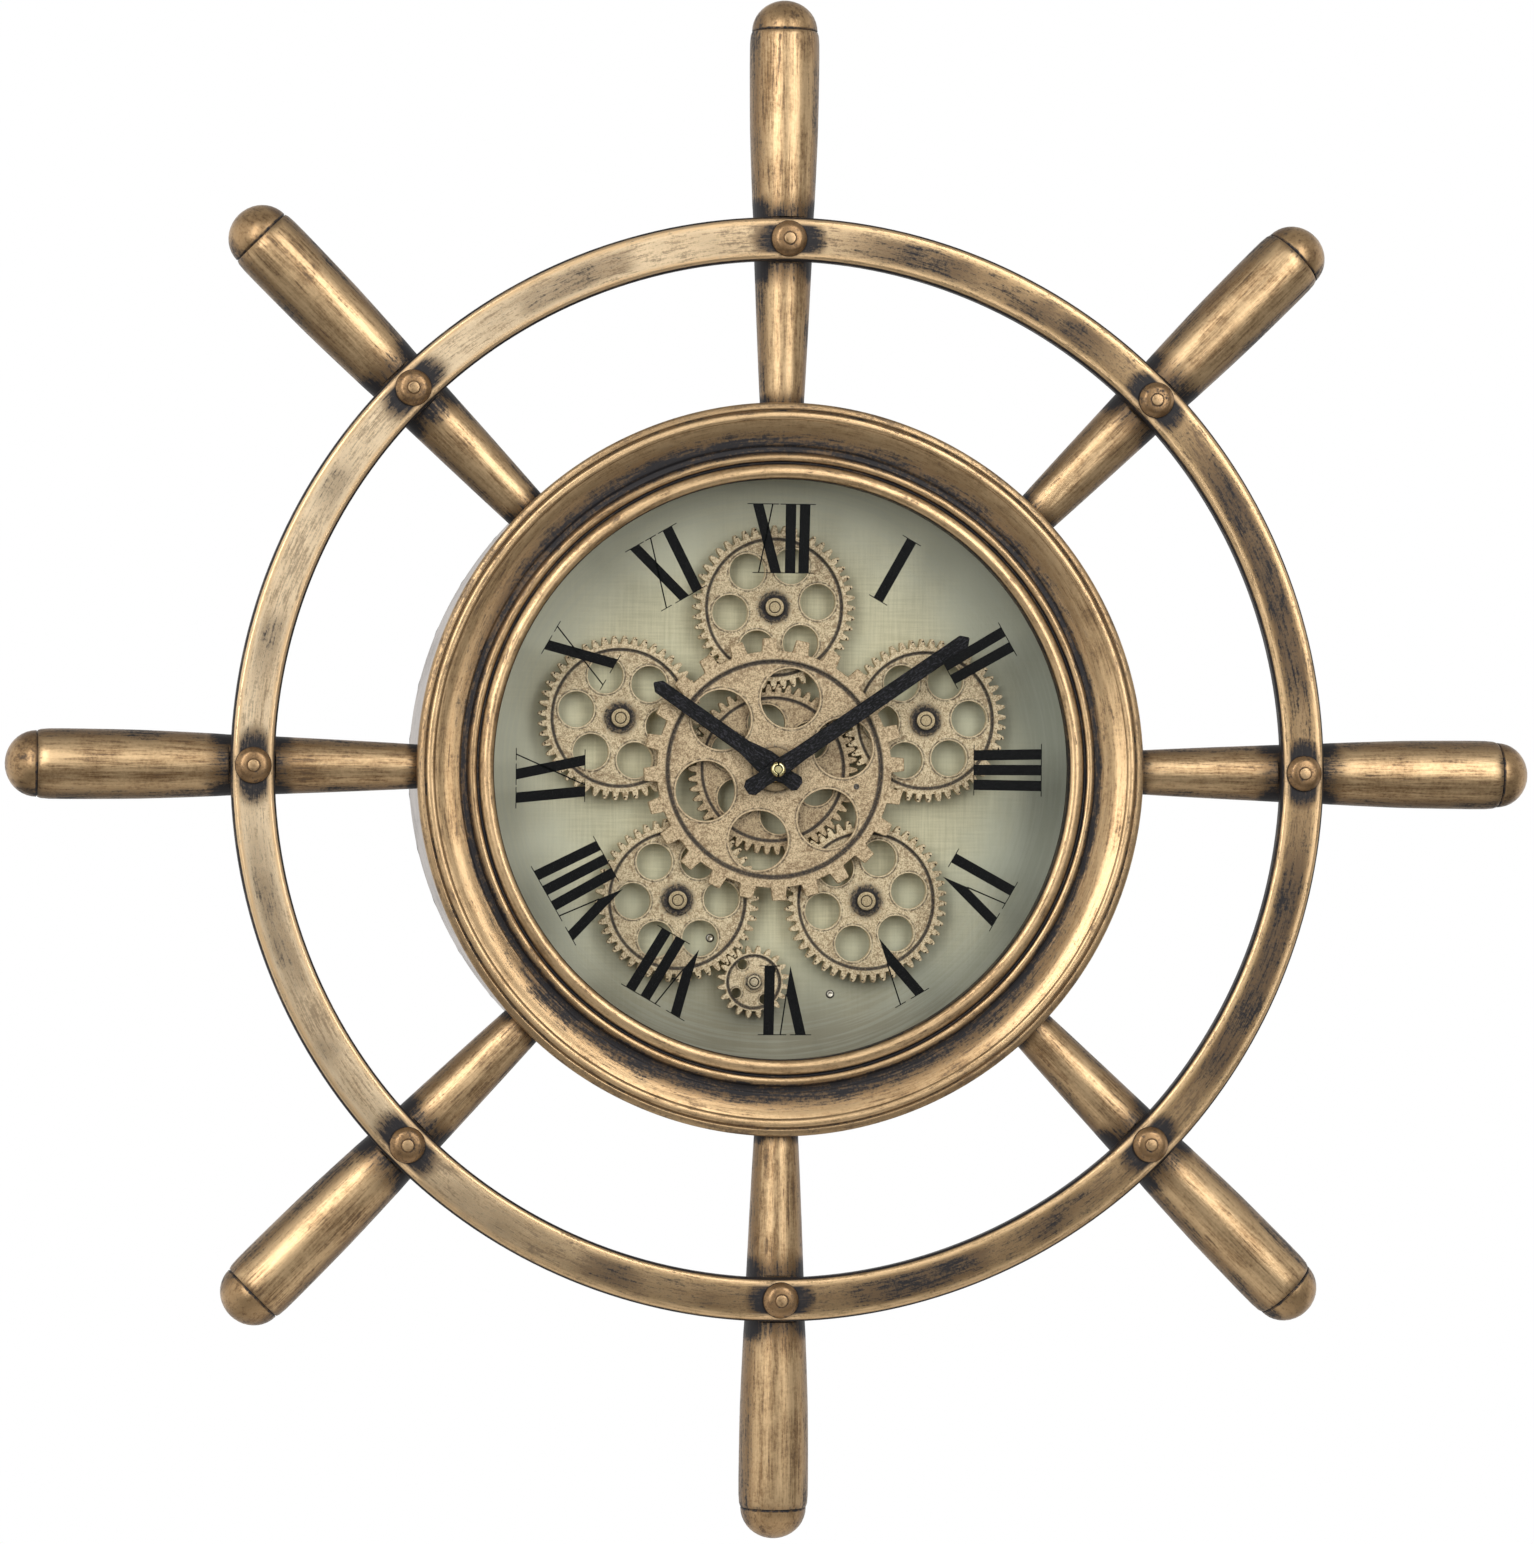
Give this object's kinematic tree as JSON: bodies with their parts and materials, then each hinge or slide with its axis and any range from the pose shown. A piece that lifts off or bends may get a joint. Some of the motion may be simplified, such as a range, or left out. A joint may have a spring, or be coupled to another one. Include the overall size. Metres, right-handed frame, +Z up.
{
  "type": "ship wheel wall clock",
  "caption": "Wall clock shaped as a ship's wheel: turned spokes with handles and a bolted flat rim round a glazed drum, with Roman numerals and hands over an open train of turning gears.",
  "frame": {"origin": "centre of the rear cover's back face, where the clock's axis meets the wall", "axes": "+Z up, -Y out of the dial towards the viewer, +Y into the wall, +X to the viewer's right"},
  "size_m": [0.6, 0.0788, 0.6],
  "materials": {
    "rim_bronze": "antique bronze finish, brushed round, dark patina at the bolts",
    "spoke_bronze": "turned, antique bronze finish, brushed along its length",
    "cap_bronze": "turned, antique bronze finish",
    "bolt_bronze": "antique bronze, satin",
    "drum_bronze": "spun, pale bronze finish, brushed round",
    "bezel_bronze": "spun, antique bronze finish, bright beads and dark grooves",
    "clear_glass": "clear, with black numerals on its inner side",
    "retainer_steel": "dark satin paint",
    "dial_paint": "matt sage and cream wash over brushed metal",
    "cover_steel": "black powder coat",
    "sun_gold": "rough sandy gold",
    "front_gold": "rough sandy gold",
    "idler_gold": "rough sandy gold",
    "pinion_gold": "rough sandy gold",
    "post_steel": "bronzed, satin",
    "shaft_steel": "bronzed, satin",
    "works_brass": "turned",
    "nut_brass": "milled",
    "washer_bronze": "pressed, satin",
    "movement_plastic": "black, moulded",
    "motor_plastic": "white, moulded",
    "battery_wrap": "plain grey film over the steel can",
    "knob_plastic": "red, moulded",
    "hand_black": "black paint, brushed along the hand",
    "tube_brass": "turned",
    "arbor_steel": "ground",
    "hand_nut_brass": "polished"
  },
  "bodies": {
    "clock_case": {"wheel_ring": "rim_bronze", "spoke_1": "spoke_bronze", "spoke_2": "spoke_bronze", "spoke_3": "spoke_bronze", "spoke_4": "spoke_bronze", "spoke_5": "spoke_bronze", "spoke_6": "spoke_bronze", "spoke_7": "spoke_bronze", "spoke_8": "spoke_bronze", "handle_cap_1": "cap_bronze", "handle_cap_2": "cap_bronze", "handle_cap_3": "cap_bronze", "handle_cap_4": "cap_bronze", "handle_cap_5": "cap_bronze", "handle_cap_6": "cap_bronze", "handle_cap_7": "cap_bronze", "handle_cap_8": "cap_bronze", "rim_bolt_1": "bolt_bronze", "rim_bolt_2": "bolt_bronze", "rim_bolt_3": "bolt_bronze", "rim_bolt_4": "bolt_bronze", "rim_bolt_5": "bolt_bronze", "rim_bolt_6": "bolt_bronze", "rim_bolt_7": "bolt_bronze", "rim_bolt_8": "bolt_bronze", "drum_shell": "drum_bronze", "bezel": "bezel_bronze", "glass": "clear_glass", "glass_retainer": "retainer_steel", "dial_ring": "retainer_steel", "dial_plate": "dial_paint", "rear_cover": "cover_steel", "idler_post_1": "post_steel", "idler_post_2": "post_steel", "idler_post_3": "post_steel", "idler_post_4": "post_steel", "idler_post_5": "post_steel", "centre_sleeve": "works_brass", "dial_nut": "nut_brass", "gear_washer": "washer_bronze", "clock_movement": "movement_plastic", "gear_motor": "motor_plastic", "clock_battery": "battery_wrap", "motor_battery": "battery_wrap"},
    "centre_gears": {"sun_gear": "sun_gold", "front_gear": "front_gold"},
    "idler_1": {"idler_gear_1": "idler_gold"},
    "idler_2": {"idler_gear_2": "idler_gold"},
    "idler_3": {"idler_gear_3": "idler_gold"},
    "idler_4": {"idler_gear_4": "idler_gold"},
    "idler_5": {"idler_gear_5": "idler_gold"},
    "pinion": {"drive_pinion": "pinion_gold", "motor_shaft": "shaft_steel"},
    "minute": {"minute_hand": "hand_black", "minute_arbor": "arbor_steel", "hand_nut": "hand_nut_brass"},
    "hour": {"hour_hand": "hand_black", "hour_tube": "tube_brass"},
    "setting_knob": {"time_set_knob": "knob_plastic"}
  },
  "joints": [
    {"name": "centre_gears_spin", "type": "hinge", "parent": "clock_case", "child": "centre_gears", "pos_m": [0, -0.041, 0], "axis": [0, 1, 0], "continuous": true},
    {"name": "idler_1_spin", "type": "hinge", "parent": "clock_case", "child": "idler_1", "pos_m": [0, -0.041, 0.0637], "axis": [0, 1, 0], "continuous": true},
    {"name": "idler_2_spin", "type": "hinge", "parent": "clock_case", "child": "idler_2", "pos_m": [-0.06058, -0.041, 0.01968], "axis": [0, 1, 0], "continuous": true},
    {"name": "idler_3_spin", "type": "hinge", "parent": "clock_case", "child": "idler_3", "pos_m": [-0.03744, -0.041, -0.05153], "axis": [0, 1, 0], "continuous": true},
    {"name": "idler_4_spin", "type": "hinge", "parent": "clock_case", "child": "idler_4", "pos_m": [0.03744, -0.041, -0.05153], "axis": [0, 1, 0], "continuous": true},
    {"name": "idler_5_spin", "type": "hinge", "parent": "clock_case", "child": "idler_5", "pos_m": [0.06058, -0.041, 0.01968], "axis": [0, 1, 0], "continuous": true},
    {"name": "pinion_spin", "type": "hinge", "parent": "clock_case", "child": "pinion", "pos_m": [-0.00696, -0.041, -0.08354], "axis": [0, 1, 0], "continuous": true},
    {"name": "minute_turn", "type": "hinge", "parent": "clock_case", "child": "minute", "pos_m": [0, -0.055, 0], "axis": [0, 1, 0], "continuous": true},
    {"name": "hour_turn", "type": "hinge", "parent": "clock_case", "child": "hour", "pos_m": [0, -0.0515, 0], "axis": [0, 1, 0], "continuous": true},
    {"name": "knob_turn", "type": "hinge", "parent": "clock_case", "child": "setting_knob", "pos_m": [0, -0.003, 0.015], "axis": [0, 1, 0], "continuous": true}
  ],
  "couplings": [
    {"joint": "idler_1_spin", "follows": "centre_gears_spin", "ratio": -1.0417},
    {"joint": "idler_2_spin", "follows": "centre_gears_spin", "ratio": -1.0417},
    {"joint": "idler_3_spin", "follows": "centre_gears_spin", "ratio": -1.0417},
    {"joint": "idler_4_spin", "follows": "centre_gears_spin", "ratio": -1.0417},
    {"joint": "idler_5_spin", "follows": "centre_gears_spin", "ratio": -1.0417},
    {"joint": "pinion_spin", "follows": "centre_gears_spin", "ratio": 2.5},
    {"joint": "hour_turn", "follows": "minute_turn", "ratio": 0.083333},
    {"joint": "knob_turn", "follows": "minute_turn", "ratio": -0.33333}
  ]
}
